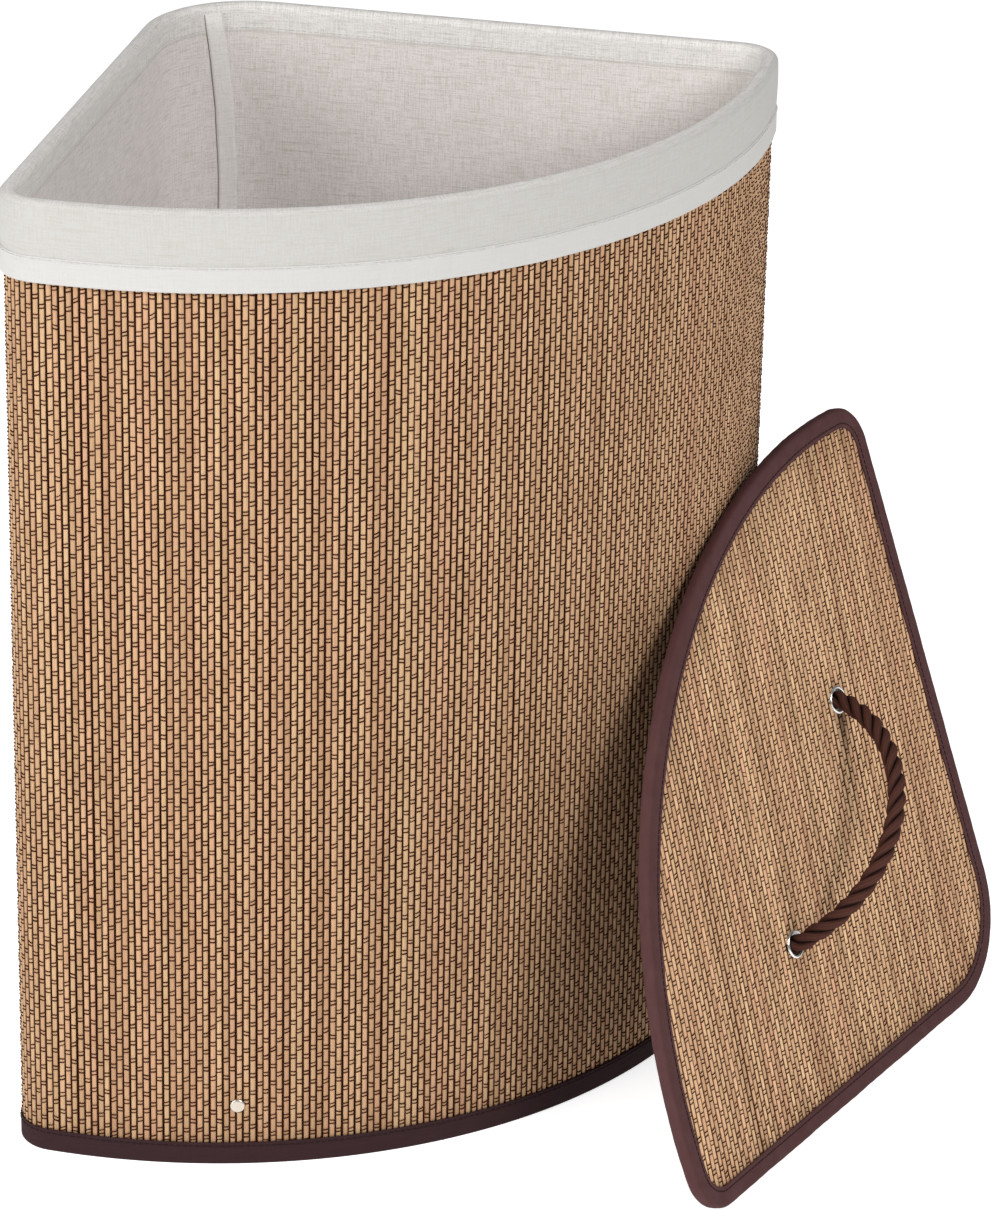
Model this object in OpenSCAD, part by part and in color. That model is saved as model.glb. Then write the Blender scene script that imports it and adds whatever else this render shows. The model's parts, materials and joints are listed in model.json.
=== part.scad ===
// Corner laundry hamper: a bamboo mat wall round a base board, a loose cloth liner,
// and a lift-off lid with a rope handle that leans beside it. Millimetres, +Z up,
// origin on the floor at the middle of the hamper's plan, curved front towards -Y.

/* [Hamper] */
// Length of each straight side, to the sharp corners
leg_len = 359; // [320:1:420]
// Radius of the curved front
front_r = 320; // [300:1:420]
// Radius of the back corner
back_r = 61; // [40:1:80]
// Radius of the two side corners
side_r = 23; // [16:1:30]
// Height to the top of the cloth rim
total_h = 576; // [400:1:700]

/* [Mat and bindings] */
// Thickness of the woven bamboo mat
mat_t = 2.6; // [2:0.1:4]
// Height of the cloth binding round the foot
foot_bind_h = 14; // [10:1:20]
// Height of the cloth binding round the top edge, under the liner
top_bind_h = 12; // [8:1:20]
// Thickness of the binding cloth
bind_t = 0.6; // [0.4:0.1:0.9]
// Width of the tape over the mat's joint at the back corner
tape_w = 26; // [16:1:40]

/* [Frame] */
// Thickness of the wooden rim lath
lath_t = 3; // [2:0.1:3.2]
// Height of the wooden rim lath
lath_h = 30; // [16:1:40]
// Thickness of the base board
board_t = 5; // [3:0.5:8]
// Height of the press studs above the floor
stud_z = 38; // [30:1:60]
// Angle of the front studs either side of the middle
stud_angle = 29; // [20:1:34]
// Distance of the back studs from the sharp back corner
stud_leg = 150; // [110:1:250]
// Diameter of a stud's cap
cap_d = 8.4; // [6:0.1:12]

/* [Liner] */
// Thickness of the liner cloth
cloth_t = 0.8; // [0.5:0.1:1]
// Height of the liner's turned-down cuff
cuff_h = 45.5; // [35:0.5:90]
// Height of the hem along the cuff's lower edge
hem_h = 15; // [6:0.5:20]

/* [Lid] */
// How far the lid's edge stands out past the mat
lid_over = 3.8; // [2:0.1:8]
// Thickness of the lid's board
core_t = 4; // [3:0.5:8]
// Width of the lid's edge binding on each face
lid_bind_w = 12; // [8:1:20]
// Distance between the two eyelets
eyelet_gap = 155; // [120:1:180]
// Place of the eyelets along the lid's depth
eyelet_y = -17; // [-40:1:40]
// Turn of the leaning lid about the vertical
lid_turn = 25; // [23:1:27]
// Lean of the lid back from the vertical
lid_lean = 20.3; // [19.8:0.1:24]

/* [Rope handle] */
// Diameter of the rope
rope_d = 11; // [8:0.5:12]
// Height of the rope arch above the lid, to the rope's middle
arch_rise = 51; // [40:1:70]
// Tilt of the standing arch towards the back corner
arch_tilt = 5; // [0:1:15]

/* [Hidden] */

// Plan: sharp back corner, centre of the front arc, centres of the rounded corners
half_chord = leg_len / sqrt(2);
arc_back = half_chord - sqrt(front_r * front_r - half_chord * half_chord);
apex_y = (back_r * (sqrt(2) - 1) + arc_back + front_r) / 2;
front_c = [0, apex_y - arc_back];
back_c = [0, apex_y - back_r * sqrt(2)];
side_q = side_r * side_r + arc_back * arc_back - sqrt(2) * arc_back * side_r
         - (front_r - side_r) * (front_r - side_r);
side_s = (sqrt(2) * arc_back + sqrt(2 * arc_back * arc_back - 4 * side_q)) / 2;
side_c = [(side_s - side_r) / sqrt(2), apex_y - (side_s + side_r) / sqrt(2)];
side_a = atan2(side_c.y - front_c.y, side_c.x);

// Clear gap between the loose liner and the hamper
gap = 0.4;

// Offsets from the mat's outer face, outwards positive
lath_out = -mat_t - bind_t;
liner_out = lath_out - lath_t - gap;
liner_in = liner_out - cloth_t;
cuff_in = bind_t + gap;
cuff_out = cuff_in + cloth_t;
hem_out = cuff_out + 0.5;

// Heights
mat_z = bind_t;
liner_top = total_h - cloth_t;
bind_top = liner_top - gap;
mat_top = bind_top - bind_t;
tab_t = 1.2;
tab_w = 24;
tab_h = 46;
tab_foot = 22;
tab_out = lath_out - 0.3;
liner_z = board_t + tab_t + gap;

// Press studs: post, domed cap outside and socket inside
post_r = 1.5;
cap_rise = 1.6;
socket_r = 4.5;
socket_t = 1.6;

// Felled seam of the liner, just right of the back corner's middle
seam_x = 3;
seam_w = 13;
seam_t = 1;

// Lid, flat: its layers from the underside up
lid_bind_t = 0.8;
lining_t = 0.6;
lid_mat_t = 1.8;
lining_z = lid_bind_t;
core_z = lining_z + lining_t;
lid_mat_z = core_z + core_t;
lid_face_z = lid_mat_z + lid_mat_t;
lid_t = lid_face_z + lid_bind_t;
lid_in = lid_over - lid_bind_t;
hole_r = 7;
eyelet_r = 6.6;
flange_r = 8.5;
lid_ref = [0, apex_y + lid_over * sqrt(2)] + (leg_len / 2 + lid_over) * [1, -1] / sqrt(2);
lid_at = [199.5, -248.6, 0.4];

// Rope arch: an arc through the eyelets, pivoting a little above the lid's face
pivot_h = 8;
arch_r = (arch_rise * arch_rise + eyelet_gap * eyelet_gap / 4) / (2 * arch_rise);
pivot_x = sqrt(arch_r * arch_r - pow(arch_r - arch_rise + pivot_h, 2));
arch_half = asin(pivot_x / arch_r);
tail_top = pivot_h - rope_d / 2 - 0.5;
knot_r = 14;

function arc_pts(c, r, a0, a1, n, last) =
    [for (i = [0 : n - (last ? 0 : 1)])
        let (a = a0 + (a1 - a0) * i / n) [c.x + r * cos(a), c.y + r * sin(a)]];

// Outline of the plan, grown outwards by t
function plan_pts(t) = concat(
    arc_pts(front_c, front_r + t, -180 - side_a, side_a, 36, false),
    arc_pts(side_c, side_r + t, side_a, 45, 8, true),
    arc_pts(back_c, back_r + t, 45, 135, 12, true),
    [for (p = arc_pts([-side_c.x, side_c.y], side_r + t, 135, 180 - side_a, 8, false)) p]);

module plan(t) polygon(plan_pts(t));

// Band between two offsets of the plan
module band(t_out, t_in, h) linear_extrude(h) difference() {
    plan(t_out);
    plan(t_in);
}

// Strip of floor along one straight side: 1 is the right side, -1 the left
module side_zone(side, h) linear_extrude(h) intersection() {
    mirror([side < 0 ? 1 : 0, 0]) translate([0, apex_y]) rotate(-45)
        translate([-60, -40]) square([60 + side_s, 80]);
    translate([side < 0 ? -900 : 0, -400]) square(900);
}

module side_wall(side, t_out, t_in, z, h) translate([0, 0, z]) intersection() {
    band(t_out, t_in, h);
    side_zone(side, h);
}

module front_wall(t_out, t_in, z, h) translate([0, 0, z]) difference() {
    band(t_out, t_in, h);
    for (side = [-1, 1]) translate([0, 0, -1]) side_zone(side, h + 2);
}

// U-shaped binding over an edge of the wall: the groove is open upwards
module edge_binding(h) difference() {
    band(bind_t, lath_out, h);
    translate([0, 0, bind_t]) band(0, -mat_t, h);
}

// Puts children at each press stud, with X outwards from the mat's outer face
module at_studs() {
    for (a = [-90 - stud_angle, -90 + stud_angle])
        translate([front_c.x, front_c.y, 0]) rotate(a) translate([front_r, 0, 0]) children();
    for (side = [-1, 1])
        translate([side * stud_leg / sqrt(2), apex_y - stud_leg / sqrt(2), 0])
            rotate(side > 0 ? 45 : 135) children();
}

module stud_posts(r, from, to) at_studs()
    translate([from, 0, stud_z]) rotate([0, 90, 0]) cylinder(h = to - from, r = r, $fn = 32);

module mat_front() color("tan") difference() {
    front_wall(0, -mat_t, mat_z, mat_top - mat_z);
    stud_posts(post_r, -mat_t - 1, 1);
}

module mat_side(side) color("tan") difference() {
    side_wall(side, 0, -mat_t, mat_z, mat_top - mat_z);
    stud_posts(post_r, -mat_t - 1, 1);
}

module mat_left() mat_side(-1);

module mat_right() mat_side(1);

module foot_binding() color([0.3, 0.2, 0.21]) edge_binding(foot_bind_h);

module top_binding() color([0.3, 0.2, 0.21]) translate([0, 0, bind_top])
    mirror([0, 0, 1]) edge_binding(top_bind_h);

module seam_tape() color([0.3, 0.2, 0.21])
    translate([0, 0, foot_bind_h]) intersection() {
        band(bind_t, 0, bind_top - top_bind_h - foot_bind_h);
        translate([-tape_w / 2, 0, 0]) cube([tape_w, 900, total_h]);
    }

module rim_lath() color("burlywood") translate([0, 0, mat_top - lath_h])
    band(lath_out, lath_out - lath_t, lath_h);

module base_board() color("burlywood") linear_extrude(board_t) plan(lath_out);

// Cloth tabs sewn to the board, stood up inside the wall behind each stud
module base_tabs() color([0.88, 0.87, 0.84]) difference() {
    at_studs() {
        translate([tab_out - tab_t, -tab_w / 2, board_t]) cube([tab_t, tab_w, tab_h]);
        translate([tab_out - tab_foot, -tab_w / 2, board_t])
            cube([tab_foot - tab_t / 2, tab_w, tab_t]);
    }
    stud_posts(post_r, tab_out - tab_t - 1, 1);
}

module stud_caps() color([0.78, 0.74, 0.68]) {
    stud_posts(post_r, tab_out - tab_t, 0);
    at_studs() translate([0, 0, stud_z]) rotate([0, 90, 0])
        rotate_extrude($fn = 48) polygon([[0, 0], [cap_d / 2, 0], [cap_d / 2, 0.5],
            [cap_d * 0.42, 1.1], [cap_d * 0.28, cap_rise - 0.1], [0, cap_rise]]);
}

module stud_sockets() color([0.78, 0.74, 0.68])
    stud_posts(socket_r, tab_out - tab_t - socket_t, tab_out - tab_t);

module liner_side(side) color([0.9, 0.89, 0.86])
    side_wall(side, liner_out, liner_in, liner_z + cloth_t, liner_top - liner_z - cloth_t);

module liner_front() color([0.9, 0.89, 0.86])
    front_wall(liner_out, liner_in, liner_z + cloth_t, liner_top - liner_z - cloth_t);

module liner_left() liner_side(-1);

module liner_right() liner_side(1);

module liner_bottom() color([0.9, 0.89, 0.86]) translate([0, 0, liner_z])
    linear_extrude(cloth_t) plan(liner_out);

// Fold over the rim and the cuff that hangs outside it
module liner_cuff() color([0.93, 0.92, 0.9]) {
    translate([0, 0, liner_top]) band(cuff_out, liner_in, cloth_t);
    translate([0, 0, total_h - cuff_h]) band(cuff_out, cuff_in, cuff_h - cloth_t);
}

module cuff_hem() color([0.93, 0.92, 0.9]) translate([0, 0, total_h - cuff_h])
    band(hem_out, cuff_out, hem_h);

module liner_seam() color([0.85, 0.84, 0.81])
    translate([0, 0, liner_z + cloth_t]) intersection() {
        band(liner_in, liner_in - seam_t, liner_top - liner_z - cloth_t);
        translate([seam_x, 0, 0]) cube([seam_w, 900, total_h]);
    }

// Stands the flat lid on one straight edge, turned and leaned against the hamper
module lid_place() translate(lid_at) rotate([0, 0, lid_turn]) rotate([90 - lid_lean, 0, 0])
    rotate([0, 0, -135]) translate([-lid_ref.x, -lid_ref.y, 0]) children();

module at_eyelets() for (side = [-1, 1])
    translate([side * eyelet_gap / 2, eyelet_y, 0]) children();

module lid_layer(z, t) lid_place() difference() {
    translate([0, 0, z]) linear_extrude(t) plan(lid_in);
    at_eyelets() translate([0, 0, -1]) cylinder(h = lid_t + 2, r = hole_r, $fn = 48);
}

module lid_core() color("burlywood") lid_layer(core_z, core_t);

module lid_mat() color("tan") lid_layer(lid_mat_z, lid_mat_t);

module lid_lining() color([0.9, 0.89, 0.86]) lid_layer(lining_z, lining_t);

module lid_binding() color([0.3, 0.2, 0.21]) lid_place() difference() {
    band(lid_over, lid_over - lid_bind_w, lid_t);
    translate([0, 0, lid_bind_t]) linear_extrude(lid_t - 2 * lid_bind_t) plan(lid_in);
}

module eyelets() color("silver") lid_place() at_eyelets() difference() {
    union() {
        cylinder(h = lid_t, r = hole_r, $fn = 48);
        translate([0, 0, lid_face_z]) cylinder(h = lid_bind_t, r = flange_r, $fn = 48);
    }
    translate([0, 0, -1]) cylinder(h = lid_t + 2, r = eyelet_r, $fn = 48);
}

module eyelet_washers() color("silver") lid_place() at_eyelets() difference() {
    cylinder(h = lid_bind_t, r = flange_r + 1, $fn = 48);
    translate([0, 0, -1]) cylinder(h = lid_t + 2, r = hole_r, $fn = 48);
}

// Ends of the rope: through the eyelets, knotted under the lid
module rope_tails() color([0.24, 0.15, 0.14]) lid_place() at_eyelets() {
    translate([0, 0, -knot_r]) cylinder(h = lid_t + tail_top + knot_r, r = rope_d / 2, $fn = 32);
    translate([0, 0, -knot_r]) sphere(r = knot_r, $fn = 32);
}

// Free arch of the rope, ball-ended on the pivot line
module rope_arch() color([0.24, 0.15, 0.14])
    lid_place() translate([0, eyelet_y, lid_t + pivot_h]) rotate([-arch_tilt, 0, 0]) {
        translate([0, 0, arch_rise - arch_r - pivot_h]) rotate([90, 0, 0])
            rotate(90 - arch_half) rotate_extrude(angle = 2 * arch_half, $fn = 96)
                translate([arch_r, 0]) circle(d = rope_d, $fn = 32);
        for (side = [-1, 1]) translate([side * pivot_x, 0, 0]) sphere(d = rope_d, $fn = 32);
    }

mat_front();
mat_left();
mat_right();
foot_binding();
top_binding();
seam_tape();
rim_lath();
base_board();
base_tabs();
stud_caps();
stud_sockets();
liner_front();
liner_left();
liner_right();
liner_bottom();
liner_cuff();
cuff_hem();
liner_seam();
lid_core();
lid_mat();
lid_lining();
lid_binding();
eyelets();
eyelet_washers();
rope_tails();
rope_arch();
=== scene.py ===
"""Corner laundry hamper: a woven bamboo wall, a loose cloth liner, and a lid with a rope handle.
Metres throughout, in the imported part's own frame: +Z up, curved front towards -Y."""
import json

import bmesh
import bpy
import numpy as np
from mathutils import Matrix, Vector


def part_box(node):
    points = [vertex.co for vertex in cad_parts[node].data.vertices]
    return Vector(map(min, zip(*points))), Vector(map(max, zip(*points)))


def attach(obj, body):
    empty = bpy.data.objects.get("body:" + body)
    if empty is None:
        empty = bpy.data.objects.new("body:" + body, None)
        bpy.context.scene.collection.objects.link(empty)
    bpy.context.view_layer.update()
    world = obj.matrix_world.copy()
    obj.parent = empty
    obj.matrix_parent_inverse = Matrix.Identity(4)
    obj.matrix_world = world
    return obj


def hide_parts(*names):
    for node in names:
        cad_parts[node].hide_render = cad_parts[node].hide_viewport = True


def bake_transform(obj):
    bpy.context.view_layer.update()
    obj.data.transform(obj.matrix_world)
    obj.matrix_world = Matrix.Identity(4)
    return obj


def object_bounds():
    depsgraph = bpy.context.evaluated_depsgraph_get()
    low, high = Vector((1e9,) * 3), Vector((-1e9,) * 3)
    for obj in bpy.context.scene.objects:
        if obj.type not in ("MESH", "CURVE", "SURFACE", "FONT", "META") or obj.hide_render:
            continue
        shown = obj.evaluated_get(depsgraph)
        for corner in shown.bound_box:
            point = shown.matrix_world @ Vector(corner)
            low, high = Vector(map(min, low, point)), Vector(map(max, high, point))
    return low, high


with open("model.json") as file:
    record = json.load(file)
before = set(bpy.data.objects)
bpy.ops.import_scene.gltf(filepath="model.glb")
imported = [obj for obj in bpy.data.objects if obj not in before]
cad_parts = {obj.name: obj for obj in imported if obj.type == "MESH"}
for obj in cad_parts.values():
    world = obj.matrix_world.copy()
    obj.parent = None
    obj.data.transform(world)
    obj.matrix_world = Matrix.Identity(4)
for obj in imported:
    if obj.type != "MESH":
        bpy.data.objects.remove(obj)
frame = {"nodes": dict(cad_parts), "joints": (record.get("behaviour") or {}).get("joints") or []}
cad_low, cad_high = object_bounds()
nodes = frame["nodes"]
joints = {j["name"]: j for j in frame["joints"]}
rng = np.random.default_rng(7)

# Camera: a long lens, turned left of the front and looking down into the open hamper.
CAM_AZIMUTH = np.radians(-33.194)
CAM_ELEVATION = np.radians(24.495)
CAM_ROLL = np.radians(1.189)
CAM_DISTANCE = 3.1238
CAM_TARGET = np.array([0.1049, 0.0, 0.2357])
CAM_LENS = 156.17

flat_back = np.array([np.sin(CAM_AZIMUTH), -np.cos(CAM_AZIMUTH), 0.0])
back = np.cos(CAM_ELEVATION) * flat_back + np.array([0, 0, np.sin(CAM_ELEVATION)])
level_right = np.array([np.cos(CAM_AZIMUTH), np.sin(CAM_AZIMUTH), 0.0])
level_up = np.cross(back, level_right)
right = np.cos(CAM_ROLL) * level_right + np.sin(CAM_ROLL) * level_up
up = np.cross(back, right)
camera = bpy.data.objects.new("camera", bpy.data.cameras.new("camera"))
bpy.context.scene.collection.objects.link(camera)
camera.data.sensor_width = 36
camera.data.lens = CAM_LENS
camera.data.clip_end = 50
camera.matrix_world = Matrix.Translation(CAM_TARGET + back * CAM_DISTANCE) @ Matrix(
    np.column_stack([right, up, back]).tolist()).to_4x4()
bpy.context.scene.camera = camera

# Floor and light: a pale studio floor that fades into the background, one large soft key lamp
# from the front right, a weak fill and a bright even surround.
FLOOR_HALF = 6.0
FLOOR_GREY = 0.93
LAMP_AIM = Vector((0.1, 0, 0.25))
KEY_TO_LIGHT = Vector((0.10, -0.80, 0.60)).normalized()
KEY_DISTANCE = 2.6
KEY_SIZE = 0.9
KEY_WATTS = 34
FILL_TO_LIGHT = Vector((-1.0, -0.10, 0.40)).normalized()
FILL_WATTS = 46
SURROUND = 0.22
BACKGROUND = 1.0
FLOOR_GLOW = 0.42
FLOOR_SEEN = 0.76

scene = bpy.context.scene
scene.view_settings.view_transform = "Standard"


def node(tree, kind, inputs=(), **settings):
    """Adds a shader node; inputs are (socket, value or output socket) pairs."""
    made = tree.nodes.new(kind)
    for key, value in settings.items():
        setattr(made, key, value)
    for socket, value in inputs:
        if isinstance(value, bpy.types.NodeSocket):
            tree.links.new(value, made.inputs[socket])
        else:
            made.inputs[socket].default_value = value
    return made


def material(name, colour, roughness, **sockets):
    """A Principled material; sockets are set as plain values on the shader itself."""
    made = bpy.data.materials.new(name)
    made.use_nodes = True
    shader = made.node_tree.nodes["Principled BSDF"]
    shader.inputs["Base Color"].default_value = (*colour, 1)
    shader.inputs["Roughness"].default_value = roughness
    for key, value in sockets.items():
        shader.inputs[key.replace("_", " ")].default_value = value
    return made, made.node_tree, shader


def mesh_object(name, points, faces, paint=None, uv=None):
    """Puts points and faces (rows of corner indices) into a new smooth mesh object."""
    mesh = bpy.data.meshes.new(name)
    mesh.vertices.add(len(points))
    mesh.vertices.foreach_set("co", points.astype(np.float32).ravel())
    mesh.loops.add(faces.size)
    mesh.loops.foreach_set("vertex_index", faces.astype(np.int32).ravel())
    mesh.polygons.add(len(faces))
    starts = np.arange(len(faces)) * faces.shape[1]
    mesh.polygons.foreach_set("loop_start", starts.astype(np.int32))
    mesh.polygons.foreach_set("use_smooth", np.ones(len(faces), bool))
    mesh.update(calc_edges=True)
    if uv is not None:
        mesh.uv_layers.new(name="UVMap").data.foreach_set("uv", uv.astype(np.float32).ravel())
    made = bpy.data.objects.new(name, mesh)
    scene.collection.objects.link(made)
    if paint:
        mesh.materials.append(paint)
    return made


def grid_faces(rows, cols, close_rows=False, close_cols=False):
    """Quads of a rows by cols grid of points, joined round where a direction closes."""
    index = np.arange(rows * cols).reshape(rows, cols)
    a = index if close_rows else index[:-1]
    b = np.roll(index, -1, 0) if close_rows else index[1:]
    if close_cols:
        return np.stack([a, b, np.roll(b, -1, 1), np.roll(a, -1, 1)], -1).reshape(-1, 4)
    return np.stack([a[:, :-1], b[:, :-1], b[:, 1:], a[:, 1:]], -1).reshape(-1, 4)


def by_sight(tree, unseen, seen):
    """One strength for the light that a surface gives, and another for what is seen of it."""
    ray = node(tree, "ShaderNodeLightPath").outputs["Is Camera Ray"]
    return node(tree, "ShaderNodeMapRange", [("Value", ray), ("To Min", unseen),
                                             ("To Max", seen)]).outputs[0]


floor_paint, tree, shader = material("studio_floor", (FLOOR_GREY, FLOOR_GREY, FLOOR_GREY), 0.9)
glow = by_sight(tree, FLOOR_GLOW, FLOOR_SEEN)
shader.inputs["Emission Color"].default_value = (1, 1, 1, 1)
tree.links.new(glow, shader.inputs["Emission Strength"])
floor_corners = FLOOR_HALF * np.array([[-1, -1, 0], [1, -1, 0], [1, 1, 0], [-1, 1, 0]])
floor = mesh_object("studio_floor", floor_corners, np.array([[0, 1, 2, 3]]), paint=floor_paint)


def area_light(name, direction, watts, size):
    """A square lamp at the key distance, facing the middle of the object."""
    lamp = bpy.data.objects.new(name, bpy.data.lights.new(name, "AREA"))
    lamp.data.energy = watts
    lamp.data.size = size
    lamp.location = LAMP_AIM + direction * KEY_DISTANCE
    lamp.rotation_euler = direction.to_track_quat("Z", "Y").to_euler()
    scene.collection.objects.link(lamp)


area_light("key_light", KEY_TO_LIGHT, KEY_WATTS, KEY_SIZE)
area_light("fill_light", FILL_TO_LIGHT, FILL_WATTS, 2 * KEY_SIZE)
world = bpy.data.worlds.new("surround")
scene.world = world
world.use_nodes = True
backdrop = world.node_tree.nodes["Background"]
backdrop.inputs["Color"].default_value = (1, 1, 1, 1)
strength = by_sight(world.node_tree, SURROUND, BACKGROUND)
world.node_tree.links.new(strength, backdrop.inputs["Strength"])

# Bamboo wall: split bamboo slats stood side by side and woven together with pairs of brown
# threads, over a dark cloth backing. It wraps once round the plan and meets at the back corner.
LEG = 0.359
FRONT_R = 0.320
BACK_R = 0.061
SIDE_R = 0.023
SLAT_PITCH = 0.00379
SLAT_WIDTH = 0.00312
SLAT_THICK = 0.0015
SLAT_FACE = -0.00025
PAIR_PERIOD = 0.0110
PAIR_SPACING = 0.0022
THREAD_R = 0.00034
MAT_THICK = 0.0026
MAT_BOTTOM, MAT_TOP = (c.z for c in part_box("mat_front"))
ARC_STEPS = 300
BAR_UV = 0.01

half_chord = LEG / np.sqrt(2)
arc_back = half_chord - np.sqrt(FRONT_R ** 2 - half_chord ** 2)
apex_y = (BACK_R * (np.sqrt(2) - 1) + arc_back + FRONT_R) / 2
front_c = np.array([0, apex_y - arc_back])
back_c = np.array([0, apex_y - BACK_R * np.sqrt(2)])
side_q = SIDE_R ** 2 + arc_back ** 2 - np.sqrt(2) * arc_back * SIDE_R - (FRONT_R - SIDE_R) ** 2
side_s = (np.sqrt(2) * arc_back + np.sqrt(2 * arc_back ** 2 - 4 * side_q)) / 2
side_c = np.array([side_s - SIDE_R, 0]) / np.sqrt(2) + [0, apex_y - (side_s + SIDE_R) / np.sqrt(2)]
side_a = np.arctan2(side_c[1] - front_c[1], side_c[0])
left_c = side_c * [-1, 1]

# The plan runs anticlockwise from the back corner: arcs as (centre, radius, from, to)
PLAN_ARCS = [(back_c, BACK_R, np.pi / 2, 3 * np.pi / 4),
             (left_c, SIDE_R, 3 * np.pi / 4, np.pi - side_a),
             (front_c, FRONT_R, np.pi - side_a, 2 * np.pi + side_a),
             (side_c, SIDE_R, 2 * np.pi + side_a, 9 * np.pi / 4),
             (back_c, BACK_R, 9 * np.pi / 4, 5 * np.pi / 2)]
plan_angle = np.concatenate([np.linspace(a, b, ARC_STEPS) for _, _, a, b in PLAN_ARCS])
plan_normal = np.column_stack([np.cos(plan_angle), np.sin(plan_angle)])
plan_xy = np.repeat([c for c, _, _, _ in PLAN_ARCS], ARC_STEPS, 0) \
    + plan_normal * np.repeat([r for _, r, _, _ in PLAN_ARCS], ARC_STEPS)[:, None]


def run(path):
    """Length along a path at each of its points: the sum of the distances up to there."""
    steps = np.linalg.norm(np.diff(path, axis=-2), axis=-1)
    return np.concatenate([np.zeros_like(steps[..., :1]), np.cumsum(steps, -1)], -1)


plan_s = run(plan_xy)
PLAN_LENGTH = plan_s[-1]


def heading(path):
    """Unit vectors along a path, from the difference between each point's neighbours."""
    way = np.gradient(path, axis=-2)
    return way / np.linalg.norm(way, axis=-1, keepdims=True)


def around(s, out, z):
    """The point at length s round the plan, moved outwards by out and up to z."""
    s, out, z = np.broadcast_arrays(s, out, z)
    s = np.mod(s, PLAN_LENGTH)
    x, y = (np.interp(s, plan_s, plan_xy[:, i]) for i in (0, 1))
    nx, ny = (np.interp(s, plan_s, plan_normal[:, i]) for i in (0, 1))
    length = np.hypot(nx, ny)
    return np.stack([x + out * nx / length, y + out * ny / length, z], -1)


def same(points):
    """Leaves points where they are."""
    return points


def rounded(corners, radius, steps=4):
    """A closed profile whose corners are cut to quadratic curves that start radius away."""
    corners = np.asarray(corners, float)
    before, after = (np.roll(corners, k, 0) - corners for k in (1, -1))
    reach = [np.minimum(radius, 0.49 * np.linalg.norm(v, axis=1))[:, None]
             * v / np.linalg.norm(v, axis=1)[:, None] for v in (before, after)]
    t = np.linspace(0, 1, steps + 1)[None, :, None]
    curve = (1 - t) ** 2 * (corners + reach[0])[:, None] + 2 * t * (1 - t) * corners[:, None] \
        + t ** 2 * (corners + reach[1])[:, None]
    return curve.reshape(-1, 2)


def finish_mesh(made):
    """Merges doubled points, so that poles close, and turns a closed mesh's faces outwards."""
    work = bmesh.new()
    work.from_mesh(made.data)
    bmesh.ops.remove_doubles(work, verts=work.verts, dist=1e-6)
    bmesh.ops.recalc_face_normals(work, faces=work.faces)
    work.to_mesh(made.data)
    work.free()
    made.data.polygons.foreach_set("use_smooth", np.ones(len(made.data.polygons), bool))
    return made


def grid_uv(rows, cols):
    """UV corners in metres for grid_faces: rows and cols are the lengths at each grid line."""
    u = np.stack([rows[:-1], rows[1:], rows[1:], rows[:-1]], -1)[:, None]
    v = np.stack([cols[:-1], cols[:-1], cols[1:], cols[1:]], -1)[None]
    return np.stack(np.broadcast_arrays(u, v), -1).reshape(-1, 2)


def end_quads(corners):
    """Quads across the end of a profile, each between a pair of steps from its two sides."""
    half = np.arange(corners // 2 - 1)
    return np.stack([half, half + 1, corners - 2 - half, corners - 1 - half], -1)


def ring(name, profile, paint, steps=720, place=same, span=None, ripple=None, skew=None):
    """Carries a closed profile of (out, z) points round the plan, or along a span of it. A ripple
    is added to out, and a skew, which depends on z, to the length round."""
    closed = span is None
    s = np.linspace(*(span or (0, PLAN_LENGTH)), steps, endpoint=not closed)
    out = np.broadcast_to(profile[None, :, 0], (len(s), len(profile)))
    if ripple:
        out = out + ripple(s[:, None], out, profile[None, :, 1])
    wander = skew(profile[None, :, 1]) if skew else 0
    points = place(around(s[:, None] + wander, out, profile[None, :, 1]))
    quads = grid_faces(len(s), len(profile), closed, True)
    rows = np.append(s, PLAN_LENGTH) if closed else s
    cols = run(np.concatenate([profile, profile[:1]]))
    uv = grid_uv(rows, cols)
    if not closed:
        end = end_quads(len(profile))
        quads = np.concatenate([quads, end, end[:, ::-1] + (len(s) - 1) * len(profile)])
        uv = np.concatenate([uv, np.zeros((8 * len(end), 2))])
    return finish_mesh(mesh_object(name, points.reshape(-1, 3), quads, paint=paint, uv=uv))


def bars(name, middle, side, outward, profile, paint, across=None, tones=None):
    """Many separate bars of one profile. middle is [bar, step, 3]; outward and side, which is
    ahead x outward, are unit vectors of the same shape; profile's points are (across, outward)
    in metres, scaled across by the bar's own share, and even in number, as quads close the ends."""
    bars_n, steps, _ = middle.shape
    corners = len(profile)
    share = np.ones(bars_n) if across is None else across
    points = middle[:, :, None] + side[:, :, None] * profile[None, None, :, :1] * share[:, None, None, None] \
        + outward[:, :, None] * profile[None, None, :, 1:]
    body = grid_faces(steps, corners, False, True)
    end = end_quads(corners)
    one = np.concatenate([body, end, end[:, ::-1] + (steps - 1) * corners])
    quads = (one[None, :, ::-1] + (np.arange(bars_n) * steps * corners)[:, None, None]).reshape(-1, 4)
    made = mesh_object(name, points.reshape(-1, 3), quads, paint=paint)
    v = np.broadcast_to(run(middle)[:, :, None], (bars_n, steps, corners)).ravel()
    u = (np.arange(bars_n)[:, None, None] * BAR_UV + profile[None, None, :, 0]
         + np.zeros((bars_n, steps, 1))).ravel()
    layer = made.data.uv_layers.new(name="UVMap")
    layer.data.foreach_set("uv", np.column_stack([u, v])[quads.ravel()].astype(np.float32).ravel())
    if tones is not None:
        for label, value in tones.items():
            attribute = made.data.attributes.new(label, "FLOAT", "POINT")
            attribute.data.foreach_set("value", np.repeat(value, steps * corners).astype(np.float32))
    return made


def bump(tree, height, strength, distance, shader):
    """Feeds a height output into a shader's normal."""
    made = node(tree, "ShaderNodeBump", [("Height", height), ("Strength", strength),
                                         ("Distance", distance)])
    tree.links.new(made.outputs["Normal"], shader.inputs["Normal"])


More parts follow.
